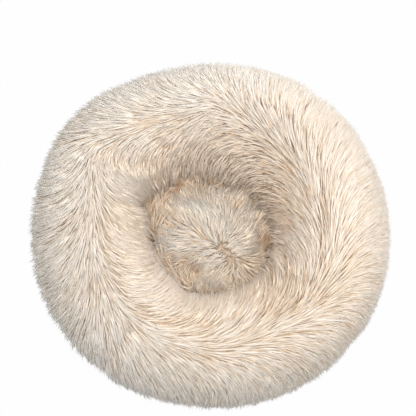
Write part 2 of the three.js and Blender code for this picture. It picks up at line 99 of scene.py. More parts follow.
class Graph:
    def __init__(self, tree):
        self.tree = tree

    def add(self, kind, settings=None, values=None):
        node = self.tree.nodes.new(kind)
        for name, value in (settings or {}).items():
            if callable(value):
                value(node)
            else:
                setattr(node, name, value)
        for key, value in (values or {}).items():
            socket = next(s for s in node.inputs if s.enabled and key in (s.identifier, s.name))
            if isinstance(value, Wire):
                self.tree.links.new(value.socket, socket)
            else:
                socket.default_value = value
        outputs = [s for s in node.outputs if s.enabled]
        return Wire(self, node, outputs[0] if outputs else None)

    def math(self, operation, *values):
        names = ("Value", "Value_001", "Value_002")
        return self.add("ShaderNodeMath", {"operation": operation}, dict(zip(names, values)))

    def vector(self, operation, *values, scale=None):
        given = dict(zip(("Vector", "Vector_001", "Vector_002"), values))
        if scale is not None:
            given["Scale"] = scale
        return self.add("ShaderNodeVectorMath", {"operation": operation}, given)

    def mix(self, factor, first, second, kind="MIX"):  # of two colours
        return self.add("ShaderNodeMix", {"data_type": "RGBA", "blend_type": kind},
                        {"Factor": factor, "A": first, "B": second})

    def combined(self, **parts):  # a vector from its X, Y and Z
        return self.add("ShaderNodeCombineXYZ", {}, parts)

    def noise(self, place, scale, detail=2.0):
        return self.add("ShaderNodeTexNoise", {}, {"Vector": place, "Scale": scale, "Detail": detail})

    def namedVector(self, name):
        return self.named(name, "FLOAT_VECTOR")

    def named(self, name, kind="FLOAT"):
        return self.add("GeometryNodeInputNamedAttribute", {"data_type": kind}, {"Name": name})

    def store(self, geometry, name, value, kind="FLOAT", domain="POINT"):
        return self.add("GeometryNodeStoreNamedAttribute", {"data_type": kind, "domain": domain},
                        {"Geometry": geometry, "Name": name, "Value": value})

    def scattered(self, points, shape, **more):
        placed = self.add("GeometryNodeInstanceOnPoints", {}, {"Points": points, "Instance": shape, **more})
        return self.add("GeometryNodeRealizeInstances", {}, {"Geometry": placed})


def newTree(name, inputs):
    tree = bpy.data.node_groups.new(name, "GeometryNodeTree")
    tree.interface.new_socket("Geometry", in_out="INPUT", socket_type="NodeSocketGeometry")
    for label, value in inputs.items():
        kind = {bool: "Bool", int: "Int", float: "Float"}.get(type(value), "Material")
        socket = tree.interface.new_socket(label, in_out="INPUT", socket_type="NodeSocket" + kind)
        if value is not None:
            socket.default_value = value
    tree.interface.new_socket("Geometry", in_out="OUTPUT", socket_type="NodeSocketGeometry")
    graph = Graph(tree)
    return graph, graph.add("NodeGroupInput")


def endTree(graph, given, geometry):
    done = graph.add("GeometryNodeSetShadeSmooth", {}, {"Geometry": geometry})
    done = graph.add("GeometryNodeSetMaterial", {}, {"Geometry": done, "Material": given.out("Material")})
    graph.add("NodeGroupOutput", {}, {"Geometry": done})
    return graph.tree


# Makes a plain mesh of what an object's modifiers show, and drops the modifiers and the spare attributes
def settle(obj, keep=("OFBake", "sharp_face", "material_index")):
    graph = bpy.context.evaluated_depsgraph_get()
    mesh = bpy.data.meshes.new_from_object(obj.evaluated_get(graph), preserve_all_data_layers=True, depsgraph=graph)
    obj.modifiers.clear()
    obj.data = mesh
    mesh.name = obj.name
    spare = [a.name for a in mesh.attributes if not a.is_required and a.name[0] != "." and a.name not in keep]
    for name in spare:
        mesh.attributes.remove(mesh.attributes[name])
    return obj


def newObject(name, data):
    obj = bpy.data.objects.new(name, data)
    bpy.context.scene.collection.objects.link(obj)
    return obj


def growOn(name, source, tree, inputs):
    obj = newObject(name, source.data.copy())
    modifier = obj.modifiers.new(tree.name, "NODES")
    modifier.node_group = tree
    sockets = {s.name: s.identifier for s in tree.interface.items_tree if s.in_out == "INPUT"}
    for label, value in inputs.items():
        modifier[sockets[label]] = value
    return settle(obj)


# Meshes from rows of points: a row for each angle, and a column for each turn

def meshObject(name, points, faces, edges=()):
    mesh = bpy.data.meshes.new(name)
    mesh.from_pydata(np.asarray(points, float).reshape(-1, 3).tolist(), edges, faces)
    mesh.update()
    return newObject(name, mesh)


def gridFaces(rows, columns, closedRows=False, closedColumns=False):
    return [
        (i * columns + j, (i + 1) % rows * columns + j,
         (i + 1) % rows * columns + (j + 1) % columns, i * columns + (j + 1) % columns)
        for i in range(rows if closedRows else rows - 1)
        for j in range(columns if closedColumns else columns - 1)
    ]


def tidyMesh(obj, merge=0.02 * mm):
    work = bmesh.new()
    work.from_mesh(obj.data)
    bmesh.ops.remove_doubles(work, verts=work.verts, dist=merge)
    bmesh.ops.dissolve_degenerate(work, edges=work.edges, dist=merge / 10)
    bmesh.ops.recalc_face_normals(work, faces=work.faces)
    for face in work.faces:
        face.smooth = True
    work.to_mesh(obj.data)
    work.free()
    return obj


# A closed shell between two grids of points that lie one over the other
def shellBetween(name, outer, inner, closedRows=False):
    rows, columns = outer.shape[:2]
    top = gridFaces(rows, columns, closedRows)
    start = rows * columns
    faces = top + [tuple(start + k for k in reversed(face)) for face in top]
    for i in range(rows if closedRows else rows - 1):
        for j in (0, columns - 1):
            a, b = i * columns + j, (i + 1) % rows * columns + j
            faces.append((a, start + a, start + b, b) if j == 0 else (a, b, start + b, start + a))
    if not closedRows:
        for i in (0, rows - 1):
            for j in range(columns - 1):
                a = i * columns + j
                faces.append((a, a + 1, start + a + 1, start + a))
    return tidyMesh(meshObject(name, np.concatenate([outer.reshape(-1, 3), inner.reshape(-1, 3)]), faces))


def giveMaterial(obj, material):
    obj.data.materials.clear()
    obj.data.materials.append(material)
    return obj


def declare(obj, slot, *nodes):  # no soft piece rides on the slider or the pull
    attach(obj, "bed")
    if nodes:
        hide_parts(*nodes)
    return obj


# The stuffed ring's shape, with the same measures as the solids
ring = {
    "outerRadius": 296 * mm, "nestRadius": 118 * mm, "crestRadius": 194 * mm, "height": 180 * mm,
    "waist": 82 * mm, "pileDepth": 20 * mm, "floorGap": 1.5 * mm,
    "outerSeam": -28, "innerSeam": 205, "underPower": 2.6,
    "seams": (50, 140, 230, 320), "seamSwells": (4 * mm, 13 * mm, 0, 3 * mm), "swellWidth": 17,
    "seamDip": 5 * mm, "dipWidth": 4, "ovalSqueeze": 7 * mm, "ovalAngle": -12,
    "crestSquareness": 7 * mm, "nestShift": 9 * mm, "nestShiftAngle": 225,
}


def ringPoints(angle, turn, depth, floor=None):
    angle, turn = np.broadcast_arrays(np.asarray(angle, float), np.asarray(turn, float))
    across, up = cosine(turn), sine(turn)
    belowWaist = np.degrees(np.arctan2(up, across)) / ring["outerSeam"]
    outerShare = np.where(up > 0, across ** 2, smooth(1 - belowWaist)) * (across > 0)
    lowShare = smooth((270 - turn) / (270 - ring["innerSeam"]))
    nestShare = np.where(up > 0, across ** 2, lowShare) * (across <= 0)
    swell = -ring["ovalSqueeze"] * sine(angle - ring["ovalAngle"]) ** 2
    dip = 0
    for seam, seamSwell in zip(ring["seams"], ring["seamSwells"]):
        swell = swell + seamSwell * bell(angle, seam, ring["swellWidth"])
        dip = dip + ring["seamDip"] * bell(angle, seam, ring["dipWidth"])
    crestShare = np.maximum(0, up) ** 2
    square = ring["crestSquareness"] * cosine(4 * (angle - ring["seams"][0] - 45))
    outerHalf = ring["outerRadius"] - ring["crestRadius"]
    innerHalf = ring["crestRadius"] - ring["nestRadius"]
    half = np.where(across > 0, outerHalf, innerHalf) - depth
    if floor is None:
        floor = ring["floorGap"] + depth - ring["pileDepth"]
    rise = np.where(up > 0, ring["height"] - ring["waist"] - depth, ring["waist"] - floor)
    power = np.where(up > 0, 1, 2 / ring["underPower"])
    r = ring["crestRadius"] + np.sign(across) * half * np.abs(across) ** power
    r = r + outerShare * (swell - dip) - crestShare * square
    r = r + nestShare * ring["nestShift"] * cosine(angle - ring["nestShiftAngle"])
    z = ring["waist"] + np.sign(up) * rise * np.abs(up) ** power - crestShare * dip
    return np.stack([r * cosine(angle), r * sine(angle), z], -1)


# The way along the angle, the way along the turn and the way out at each point of a grid
def gridWays(points):
    along, across = unit(np.gradient(points, axis=0)), unit(np.gradient(points, axis=1))
    return along, across, unit(np.cross(along, across))


# Materials

def newMaterial(name, shader):
    material = bpy.data.materials.new(name)
    material.use_nodes = True
    tree = material.node_tree
    tree.nodes.clear()
    graph = Graph(tree)
    graph.add("ShaderNodeOutputMaterial", {}, {"Surface": shader(graph)})
    return material


def ramp(graph, factor, stops):
    def fill(node):
        band = node.color_ramp
        for place, colour in stops[1:-1]:
            band.elements.new(place)
        for element, (place, colour) in zip(band.elements, stops):
            element.position, element.color = place, rgb(*colour)
    return graph.add("ShaderNodeValToRGB", {"fill": fill}, {"Fac": factor})


def rgb(red, green, blue):  # from the colour as it is seen, 0 to 255, to the light that it gives back
    seen = np.array([red, green, blue]) / 255
    light = np.where(seen < 0.04045, seen / 12.92, ((seen + 0.055) / 1.055) ** 2.4)
    return (*light.tolist(), 1.0)


# Each lock of pile is laid on the map with its shade across and its length up, in a row of its painted warmth. In the
# nest the pile is painted warmer: painted warm shade, standing in for the light that bounces between its hairs
warmLevels = 8


def pileMaterial(name, look):
    def shader(graph):
        parts = graph.add("ShaderNodeSeparateXYZ", {}, {"Vector": graph.add("ShaderNodeUVMap", {"uv_map": "OFBake"})})
        shade, rows = parts.out("X"), parts.out("Y") * warmLevels
        level = graph.math("FLOOR", rows)
        warmth, along = level / (warmLevels - 1), rows - level
        # the lock is darker and warmer towards its root: painted shade between the locks
        length = ramp(graph, along, [
            (0.0, look["root"]), (look["middleAt"], look["middle"]), (look["tipAt"], look["tip"])])
        # the lock's shade: darker for tan patches and for the painted shade laid on it, paler where painted light is
        # laid on it
        dull = ramp(graph, shade, [(0.0, look["dull"]), (look["fairAt"], look["fair"]), (1.0, (255, 255, 255))])
        colour = graph.mix(1.0, length, dull, "MULTIPLY")
        # warmer in the nest: painted warm shade
        colour = graph.mix(warmth, colour, rgb(*look["warm"]), "MULTIPLY")
        wide, high, scale = look["strands"]
        strands = graph.noise(graph.combined(X=shade * wide, Y=along * high), scale)
        return graph.add("ShaderNodeBsdfPrincipled", {}, {
            "Base Color": colour, "Roughness": look["roughness"] + strands * look["roughnessSpread"],
            "Sheen Weight": look["sheen"], "Specular IOR Level": look["gloss"]})
    return newMaterial(name, shader)


anyPile = {"middleAt": 0.5, "tipAt": 0.9, "fairAt": 0.4, "roughness": 0.55, "roughnessSpread": 0.2,
           "sheen": 0.25, "gloss": 0.25, "strands": (900.0, 3, 6.0)}  # across and along the lock, and their scale
ringPile = pileMaterial("ringPile", {
    **anyPile, "root": (194, 164, 132), "middle": (247, 237, 224), "tip": (255, 251, 245),
    "dull": (212, 188, 160), "fair": (243, 232, 218), "warm": (255, 248, 240),
})
padPile = pileMaterial("padPile", {
    **anyPile, "root": (226, 207, 184), "middle": (250, 239, 224), "tip": (255, 252, 247),
    "dull": (208, 175, 142), "fair": (246, 228, 206), "warm": (255, 246, 235),
})


def weave(graph, place, pitch):  # the height of threads that pass over and under each other
    parts = graph.add("ShaderNodeSeparateXYZ", {}, {"Vector": place})
    turn = math.pi / pitch
    return graph.math("SINE", parts.out("X") * turn) * graph.math("SINE", parts.out("Y") * turn) * 0.5 + 0.5


# Every other stuff has a fine grain, woven where it has a pitch, and a coarse one. Each is a noise's scale and detail
fuzz = {"fine": (420.0, 3.0), "coarse": (35.0, 2.0), "fineShare": 0.7, "roughness": 0.95, "relief": 1.2 * mm}
cloth = {"fineShare": 0.6, "roughnessSpread": 0.1, "coarseRelief": 0.5}
stuffLooks = {
    "ringFuzz": {**fuzz, "dark": (214, 189, 160), "light": (246, 230, 211)},
    "padFuzz": {**fuzz, "dark": (204, 178, 150), "light": (238, 220, 200)},
    "oxfordCloth": {**cloth, "pitch": 0.9 * mm, "coarse": (160.0, 4.0), "roughness": 0.75,
                    "dark": (160, 142, 120), "light": (198, 182, 160), "relief": 0.15 * mm},
    "linerCloth": {**cloth, "pitch": 0.6 * mm, "coarse": (60.0, 4.0), "roughness": 0.85,
                   "dark": (222, 220, 214), "light": (246, 245, 241), "relief": 0.1 * mm},
    "tapeCloth": {**cloth, "pitch": 0.5 * mm, "coarse": (120.0, 4.0), "roughness": 0.8,
                  "dark": (178, 160, 136), "light": (214, 198, 176), "relief": 0.12 * mm},
    "fibreFill": {"fine": (240.0, 5.0), "coarse": (30.0, 2.0), "fineShare": 0.5, "roughness": 1.0,
                  "dark": (222, 221, 216), "light": (252, 252, 250), "relief": 2.5 * mm, "coarseRelief": 1.0},
    "gripDot": {"fine": (90.0, 2.0), "coarse": (900.0, 2.0), "roughness": 0.45, "roughnessSpread": 0.15,
                "dark": (196, 184, 166), "light": (214, 203, 187)},
    "seamThread": {"fine": (1500.0, 2.0), "roughness": 0.7, "dark": (196, 178, 152), "light": (228, 212, 188),
                   "relief": 0.1 * mm},
    "zipResin": {"fine": (300.0, 2.0), "roughness": 0.3, "roughnessSpread": 0.2, "dark": (188, 172, 148),
                 "light": (206, 190, 166)},
    "zipMetal": {"fine": (500.0, 4.0), "roughness": 0.22, "roughnessSpread": 0.2, "dark": (172, 168, 160),
                 "light": (206, 202, 194), "relief": 0.02 * mm, "metallic": 1.0},
}


def stuffMaterial(name, look):
    def shader(graph):
        place = graph.add("ShaderNodeTexCoord").out("Object")
        fine = weave(graph, place, look["pitch"]) if "pitch" in look else graph.noise(place, *look["fine"])
        coarse = graph.noise(place, *look["coarse"]) if "coarse" in look else fine
        shade = fine * look["fineShare"] + coarse * (1 - look["fineShare"]) if "fineShare" in look else fine
        values = {"Base Color": graph.mix(shade, rgb(*look["dark"]), rgb(*look["light"])),
                  "Roughness": look["roughness"], "Metallic": look.get("metallic", 0.0)}
        if "roughnessSpread" in look:
            values["Roughness"] = look["roughness"] + coarse * look["roughnessSpread"]
        if "relief" in look:
            height = fine + coarse * look["coarseRelief"] if "coarseRelief" in look else fine
            values["Normal"] = graph.add("ShaderNodeBump", {}, {"Height": height, "Distance": look["relief"]})
        return graph.add("ShaderNodeBsdfPrincipled", {}, values)
    return newMaterial(name, shader)


stuff = {name: stuffMaterial(name, look) for name, look in stuffLooks.items()}
print("materials made")


def cushion(obj, material, slot, node):  # a padded piece
    declare(giveMaterial(obj, stuff[material]), slot, node)


# The stuffing's push: the cover is sewn down at its seams, and cloth under pressure swells between them
swelling = {
    "pressure": 4.0, "frames": 20, "cap": 6 * mm, "settled": 0.3, "depth": 17 * mm,
    "angleStep": 2.5, "turnStep": 7.5, "turnFrom": -90,  # the sack's grid
    "edgeFade": 25, "seamHold": 0.9, "seamWidth": 3,  # in degrees, how it is held at its edges and at its seams
}


def inflated(name, points, faces, held):
    move = np.zeros(points.shape)
    sack = meshObject(name, points, faces)
    group = sack.vertex_groups.new(name="held")
    for k, weight in enumerate(held.ravel().tolist()):
        group.add([k], weight, "REPLACE")
    cloth = sack.modifiers.new("cloth", "CLOTH")
    cloth.settings.vertex_group_mass = "held"
    cloth.settings.use_pressure = True
    cloth.settings.uniform_pressure_force = swelling["pressure"]
    cloth.settings.effector_weights.gravity = 0
    cloth.point_cache.frame_end = swelling["frames"]
    for step in range(1, swelling["frames"] + 1):
        bpy.context.scene.frame_set(step)
    graph = bpy.context.evaluated_depsgraph_get()
    moved = np.empty(points.size, np.float32)
    sack.evaluated_get(graph).data.vertices.foreach_get("co", moved)
    move = moved.reshape(points.shape) - points
    far = np.linalg.norm(move, axis=-1, keepdims=True)
    print(name, "swells by up to", round(float(far.max()) / mm, 1), "mm, mean", round(float(far.mean()) / mm, 1))
    bpy.data.objects.remove(sack)
    bpy.context.scene.frame_set(1)
    return move * np.minimum(1, swelling["cap"] / np.maximum(far, 1e-9))


def sampled(field, row, column):  # between a grid's points; its rows close on themselves
    rows, columns = field.shape[:2]
    row, column = np.broadcast_arrays(row % rows, np.clip(column, 0, columns - 1.001))
    i, j = row.astype(int), column.astype(int)
    u, v = (row - i)[..., None], (column - j)[..., None]
    low = field[i, j] * (1 - v) + field[i, j + 1] * v
    high = field[(i + 1) % rows, j] * (1 - v) + field[(i + 1) % rows, j + 1] * v
    return low * (1 - u) + high * u


sackAngles = np.arange(0, 360, swelling["angleStep"])
sackTurns = np.arange(swelling["turnFrom"], swelling["turnFrom"] + 360, swelling["turnStep"])
sackStart = ringPoints(sackAngles[:, None], sackTurns, swelling["depth"])
fromOuter, fromInner = sackTurns - ring["outerSeam"], ring["innerSeam"] - sackTurns
sewn = 1 - smooth(fromOuter / swelling["edgeFade"]) * smooth(fromInner / swelling["edgeFade"])
seamHold = sum(swelling["seamHold"] * bell(sackAngles, seam, swelling["seamWidth"]) for seam in ring["seams"])
heldDown = np.clip(np.maximum(sewn, seamHold[:, None]), 0, 1)
ringSwell = inflated("ringSack", sackStart, gridFaces(*sackStart.shape[:2], True, True), heldDown)
sackOut = unit(np.cross(np.roll(sackStart, -1, 0) - np.roll(sackStart, 1, 0), np.gradient(sackStart, axis=1)))
sink = (1 - heldDown) * swelling["settled"] * swelling["cap"] * (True)
ringSwell = ringSwell - sackOut * sink[..., None]


def coverPoints(angle, turn, depth):  # the ring's shape with its swelling
    angle, turn = np.broadcast_arrays(angle, turn)
    row, column = angle / swelling["angleStep"], (turn - swelling["turnFrom"]) / swelling["turnStep"]
    return ringPoints(angle, turn, depth) + sampled(ringSwell, row, column)


# The plush cover. Its backing is worked out on a grid over the whole top of the ring
cover = {
    "rootDepth": 17 * mm,  # how far the backing lies under the pile's mean surface
    "fuzzDepth": 10 * mm,  # the top of the dense underfur
    "backDepth": 19.5 * mm,
    "angleStep": 2.5, "turnStep": 4.0, "lieFrom": -76, "lieTo": 240,
    # how far the pile hangs in over the nest's wall: the angle round the bed and millimetres
    "lip": ((0, 2), (30, 6), (60, 11), (95, 14), (120, 12), (140, 6), (152, -6), (165, -10), (169, -5), (172, 11),
            (185, 17), (215, 20), (234, 22), (241, 17), (250, 11), (275, 10), (300, 6), (330, 2)),
    "lipTurn": ((0, 190), (166, 190), (173, 152), (300, 152), (340, 190)),  # the turn at which it is fullest
    "lipWidth": 38,
    "lipRise": 0.7,  # the share of it that the backing takes; longer pile takes the rest
    "lipLoft": 18 * mm,  # the reach that doubles how far the pile stands
    "backingReach": (3 * mm, 18 * mm),  # the least and most depth of the dense underfur's top
    "backingThickness": 2.4 * mm,
    "seamGap": 0.08,  # in degrees, between a panel's backing and the seam
    "flattened": ((115, 28, 0.30), (257, 22, 0.28)),  # angle, width and share by which the pile stands less
    # how the pile grows round the ring and its section
    "shortAtFloor": 0.28, "floorRise": (-30, 45), "shortOnWall": 0.4, "wallWidth": 45,
    # painted light on the nest's wall, most on its left where the light falls, and painted shade on the crest towards
    # the lower right and on the right of the wall, which face away from the light
    "tone": 0.68, "wallPaintedLight": 0.12, "leftWallPaintedLight": 0.15, "shade": 0.4,
    "shadedSide": ((305, 75), (95, 60)), "shadedWall": (10, 50),  # middles and widths, in degrees
    # the spread of the locks' stand and shade; the wider shade spread on the lower left and on the wall is painted
    # shade
    "contrast": 0.95, "leftContrast": 0.6, "wallContrast": 0.6, "leftAngle": 210,
    "sparseOnWall": 0.55, "wallLoft": 0.4, "stiff": 0.35, "stiffEdge": 0.5, "edgeTurns": (145, 40),
    # the reach of the painted warm shade in the nest
    "warmWithin": 188 * mm, "warmOver": 40 * mm,
}
coverAngles = np.arange(-40, 320.01, cover["angleStep"])
lieTurns = np.arange(cover["lieFrom"], cover["lieTo"] + 0.01, cover["turnStep"])

# How the pile is combed, seen from above, every 15 degrees round the bed: the radius at which it parts, and how far
# it leans in and out from the way round the ring
combing = np.array([
    (182, 36, 54), (179, 25, 66), (172, 33, 65), (164, 42, 77), (165, 41, 81), (169, 49, 92), (196, 48, 98),
    (180, 40, 80), (185, 39, 82), (194, 39, 78), (228, 96, 95), (203, 101, 97), (187, 74, 85), (197, 74, 95),
    (203, 75, 94), (205, 94, 49), (203, 100, 32), (202, 96, 52), (210, 66, 92), (211, 42, 98), (203, 47, 89),
    (209, 42, 94), (206, 48, 98), (197, 52, 66),
], float)
combWidth = {"inner": 60 * mm, "outer": 72 * mm}


def combed(points):
    along, across, out = gridWays(points)
    angle = np.degrees(np.arctan2(points[..., 1], points[..., 0])) % 360
    radius = np.hypot(points[..., 0], points[..., 1])
    parting, inner, outer = (np.interp(angle, np.arange(0, 360, 15.0), row, period=360) for row in combing.T)
    away = radius - parting * mm
    inward = inner * np.sin(np.clip(-away / combWidth["inner"], 0, 1) * math.pi / 2)
    outward = outer * np.sin(np.clip(away / combWidth["outer"], 0, 1) * math.pi / 2)
    lean = inward - outward
    slope = np.maximum(np.abs(out[..., 2]), 0.3)  # a steep side is seen foreshortened from above
    lean = np.arctan2(sine(lean) / slope, cosine(lean))[..., None]
    return along * np.cos(lean) + across * np.sin(lean), out


def setAttributes(obj, **fields):  # each a number or a vector for every point
    for name, values in fields.items():
        values = np.asarray(values, np.float32)
        single = values.size == len(obj.data.vertices)
        data = obj.data.attributes.new(name, "FLOAT" if single else "FLOAT_VECTOR", "POINT").data
        data.foreach_set("value" if single else "vector", values.ravel())


def overhang(angle, turn):  # the pile is fuller over the nest's wall
    reach = np.interp(angle % 360, *np.array(cover["lip"]).T, period=360) * mm
    return reach * bell(turn, np.interp(angle % 360, *np.array(cover["lipTurn"]).T, period=360), cover["lipWidth"])


def fullness(angle, turn):
    reach = overhang(angle, turn)
    return np.where(reach > 0, cover["lipRise"], 1) * reach


ringLie = coverPoints(coverAngles[:, None], lieTurns,
                      cover["rootDepth"] - fullness(coverAngles[:, None], lieTurns))
ringSkin = meshObject("ringSkin", ringLie, gridFaces(*ringLie.shape[:2]))
combWay, outWay = combed(ringLie)
angleGrid, turnGrid = np.meshgrid(coverAngles, lieTurns, indexing="ij")
nearFloor = 1 - rising(turnGrid, *cover["floorRise"])
onWall = bell(turnGrid, 180, cover["wallWidth"])
leftness = cosine(angleGrid - cover["leftAngle"])
shaded = bell(angleGrid, *cover["shadedSide"][0]) * bell(turnGrid, *cover["shadedSide"][1])
shaded = shaded + bell(angleGrid, *cover["shadedWall"]) * onWall
flat = sum(share * bell(angleGrid, middle, width) for middle, width, share in cover["flattened"])
longer = overhang(angleGrid, turnGrid) * (1 - cover["lipRise"]) / cover["lipLoft"]
# the pile is more parted where it lies towards the lower left and on the wall, and there the wider spread of its
# locks' shades is painted shade, deeper on the sides that face away from the light. It hangs straight over the nest's
# edge, and on the wall it stands straight out, over the pad
setAttributes(
    ringSkin, comb=combWay, outward=outWay, around=angleGrid, across=turnGrid,
    lengthShare=(1 - cover["shortAtFloor"] * nearFloor) * (1 - cover["shortOnWall"] * onWall),
    # painted light on the nest's wall, most on its left, and painted shade on the sides away from the light
    tone=cover["tone"] + onWall * (cover["wallPaintedLight"] + cover["leftWallPaintedLight"] * leftness) - cover["shade"] * shaded,
    contrast=cover["contrast"] + cover["leftContrast"] * leftness * cosine(turnGrid) + cover["wallContrast"] * onWall,
    unrest=np.zeros(angleGrid.shape), dense=1 - cover["sparseOnWall"] * onWall,
    # painted warm shade in the nest
    warmth=np.clip((cover["warmWithin"] - np.hypot(ringLie[..., 0], ringLie[..., 1])) / cover["warmOver"], 0, 1),
    stiff=cover["stiff"] + cover["stiffEdge"] * bell(turnGrid, *cover["edgeTurns"]),
    loft=longer - flat + cover["wallLoft"] * onWall)
print("ring combed:", ringLie.shape[0] * ringLie.shape[1], "points")


# One lock of pile. It stands up from the backing, then lies along it as it is combed
lock = {
    "bend": 0.65, "earlyRise": 0.55, "rootWidth": 0.8, "swell": 0.6, "taper": 0.92, "floor": 1.5 * mm,
    "shortened": 0.3, "patchTone": 0.6,  # by the unrest and by the patches
    "shadeSpan": 0.97, "girthSpan": 0.012, "edge": 0.005, "rowSpan": 0.96, "rowEdge": 0.02,  # how it lies on the map
}


def pileTree():  # Geometry Nodes. Its values are the ring's; the pad has some of its own
    graph, given = newTree("pile", {
        "Locks per square metre": 215000.0, "From angle": 0.0, "To angle": 90.0, "From turn": 0.0, "To turn": 90.0,
        "Length": 0.043, "Length spread": 0.15, "Width": 0.00125, "Stand": 0.0155, "Stand spread": 0.006,
        "Stray degrees": 9.0, "Tuft degrees": 10.0, "Tuft size": 0.04, "Unrest degrees": 80.0, "Bow": 0.002,
        "Tone spread": 0.6, "Depth tone": 0.4, "Patch size": 0.09, "Clump lift": 0.5, "Clump size": 0.012,
        "Points": 3, "Seed": 1, "Material": None,
    })
    skin = given.out("Geometry")

    def within(name, low, high):
        value = graph.named(name)
        return (value > given.out(low)) * (value < given.out(high))

    def draw(low, high, salt):
        return graph.add("FunctionNodeRandomValue", {"data_type": "FLOAT"},
                         {"Min": low, "Max": high, "Seed": given.out("Seed") + salt})

    sown = within("around", "From angle", "To angle") * within("across", "From turn", "To turn")
    locks = graph.add("GeometryNodeDistributePointsOnFaces", {}, {
        "Mesh": skin, "Density": given.out("Locks per square metre") * sown * graph.named("dense"),
        "Seed": given.out("Seed")})
    root = graph.add("GeometryNodeInputPosition")
    outward = graph.vector("NORMALIZE", graph.namedVector("outward"))
    tuft = graph.noise(root, 1 / given.out("Tuft size"), 1.0)
    patch = graph.noise(root, 1 / given.out("Patch size"), 1.0)
    unrest = graph.named("unrest")
    stray = draw(-1.0, 1.0, 11) * (given.out("Stray degrees") + unrest * given.out("Unrest degrees")) \
        + (tuft - 0.5) * 4 * given.out("Tuft degrees")
    way = graph.add("ShaderNodeVectorRotate", {"rotation_type": "AXIS_ANGLE"}, {
        "Vector": graph.namedVector("comb"), "Axis": outward, "Angle": stray * math.radians(1)})
    points = graph.store(locks, "root", root, "FLOAT_VECTOR")
    points = graph.store(points, "way", way, "FLOAT_VECTOR")
    points = graph.store(points, "long", given.out("Length") * graph.named("lengthShare")
                         * (1 + draw(-1.0, 1.0, 23) * given.out("Length spread")) * (1 - unrest * lock["shortened"]))
    clump = graph.noise(root, 1 / given.out("Clump size"), 1.0)
    contrast = graph.named("contrast")
    lift = (graph.named("loft") + 1) * ((clump - 0.5) * 2 * given.out("Clump lift") * contrast + 1)
    level = draw(-1.0, 1.0, 37)
    points = graph.store(points, "stand", given.out("Stand") * lift + level * contrast * given.out("Stand spread"))
    points = graph.store(points, "bow", draw(-1.0, 1.0, 41) * given.out("Bow"))
    # a random spread of tone, and painted shade: deeper locks and lower clumps are darker
    mottleAndDepthShade = draw(-0.5, 0.5, 53) * given.out("Tone spread") + (level + (clump - 0.5) * 2) * given.out("Depth tone")
    points = graph.store(points, "shade", graph.named("tone") + (patch - 0.5) * lock["patchTone"] + mottleAndDepthShade * contrast)
    line = graph.add("GeometryNodeCurvePrimitiveLine")
    strand = graph.add("GeometryNodeResampleCurve", {}, {"Curve": line, "Count": given.out("Points")})
    strands = graph.scattered(points, strand)

    t = graph.add("GeometryNodeSplineParameter")
    way, root = graph.namedVector("way"), graph.namedVector("root")
    side = graph.vector("CROSS_PRODUCT", outward, way)
    ahead = graph.vector("SCALE", way, scale=graph.named("long") * t * (t * lock["bend"] + (1 - lock["bend"])))
    aside = graph.vector("SCALE", side, scale=graph.named("bow") * t * t)
    guide = graph.vector("ADD", graph.vector("ADD", root, ahead), aside)
    near = graph.add("GeometryNodeProximity", {"target_element": "FACES"}, {"Target": skin, "Source Position": guide})
    over = graph.add("GeometryNodeSampleNearestSurface", {"data_type": "FLOAT_VECTOR"}, {
        "Mesh": skin, "Value": graph.namedVector("outward"), "Sample Position": guide})
    early = lock["earlyRise"]
    rise = graph.named("stand") * (t * (1 - early) + (1 - (1 - t) * (1 - t)) * early)
    hugging = graph.vector("ADD", near, graph.vector("SCALE", graph.vector("NORMALIZE", over), scale=rise))
    straight = graph.vector("ADD", guide, graph.vector("SCALE", outward, scale=rise))
    stiff = graph.named("stiff")
    place = graph.vector("ADD", graph.vector("SCALE", hugging, scale=1 - stiff),
                         graph.vector("SCALE", straight, scale=stiff))
    parts = graph.add("ShaderNodeSeparateXYZ", {}, {"Vector": place})
    place = graph.combined(X=parts.out("X"), Y=parts.out("Y"), Z=graph.math("MAXIMUM", parts.out("Z"), lock["floor"]))
    strands = graph.add("GeometryNodeSetPosition", {}, {"Geometry": strands, "Position": place})
    strands = graph.store(strands, "along", t)

    circle = graph.add("GeometryNodeCurvePrimitiveCircle", {}, {"Resolution": 3, "Radius": 1.0})
    profile = graph.store(circle, "girth", graph.add("GeometryNodeSplineParameter"))
    full = graph.math("MINIMUM", t * lock["swell"] + lock["rootWidth"], 1.0)
    thick = given.out("Width") * full * (1 - t * t * t * lock["taper"])
    mesh = graph.add("GeometryNodeCurveToMesh", {}, {
        "Curve": strands, "Profile Curve": profile, "Scale": thick, "Fill Caps": True})
    shade = graph.add("ShaderNodeClamp", {}, {"Value": graph.named("shade")})
    across = shade * lock["shadeSpan"] + graph.named("girth") * lock["girthSpan"] + lock["edge"]
    level = graph.math("FLOOR", graph.named("warmth") * (warmLevels - 0.01))
    up = (level + graph.named("along") * lock["rowSpan"] + lock["rowEdge"]) / warmLevels
    mesh = graph.store(mesh, "OFBake", graph.combined(X=across, Y=up), "FLOAT2", "CORNER")
    return endTree(graph, given, mesh)


pile = pileTree()
panelNames = ("back", "left", "front", "right")
panelStarts = (50, 140, 230, -40)
pileBands = {"outer": (-26.0, 36.0), "crest": (36.0, 96.0), "inner": (96.0, 201.0)}

